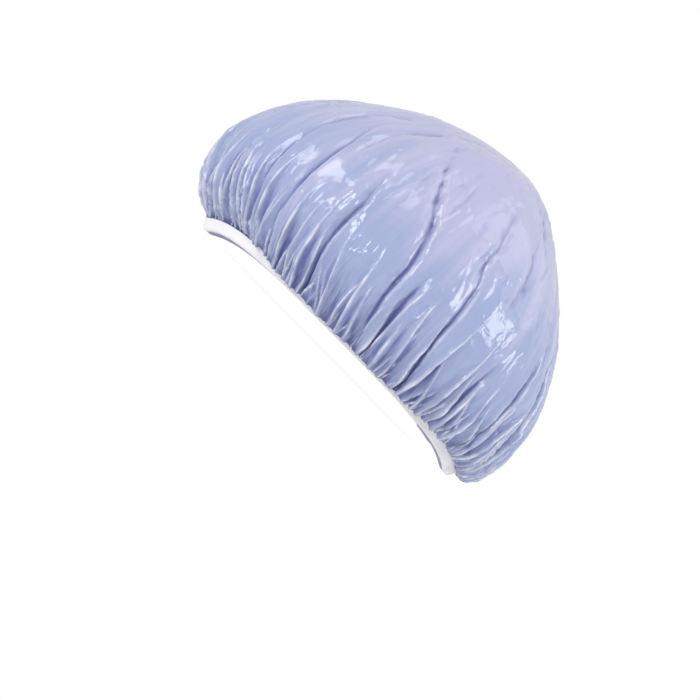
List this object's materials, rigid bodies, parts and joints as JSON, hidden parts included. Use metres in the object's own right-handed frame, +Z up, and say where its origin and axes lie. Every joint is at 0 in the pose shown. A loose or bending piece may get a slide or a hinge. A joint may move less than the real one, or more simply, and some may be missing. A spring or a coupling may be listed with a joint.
{
  "type": "shower cap",
  "caption": "Shower cap of glossy film gathered on an elastic hem bound in white tape, puffed as it is worn, to keep hair dry.",
  "frame": {"origin": "middle of the head opening, on the plane that the hem stands on", "axes": "-X towards the forehead, +X towards the nape, +Z up through the crown, ears at -Y and +Y"},
  "size_m": [0.2665, 0.217, 0.1645],
  "materials": {
    "lavender_film": "gloss",
    "white_tape": "matte",
    "knit_elastic": "matte",
    "sewing_thread": "satin"
  },
  "bodies": {
    "root": {"crown_film": "lavender_film", "hem_binding": "white_tape", "elastic_band": "knit_elastic", "needle_thread": "sewing_thread", "bobbin_thread": "sewing_thread", "lap_bartack": "sewing_thread"}
  },
  "joints": []
}
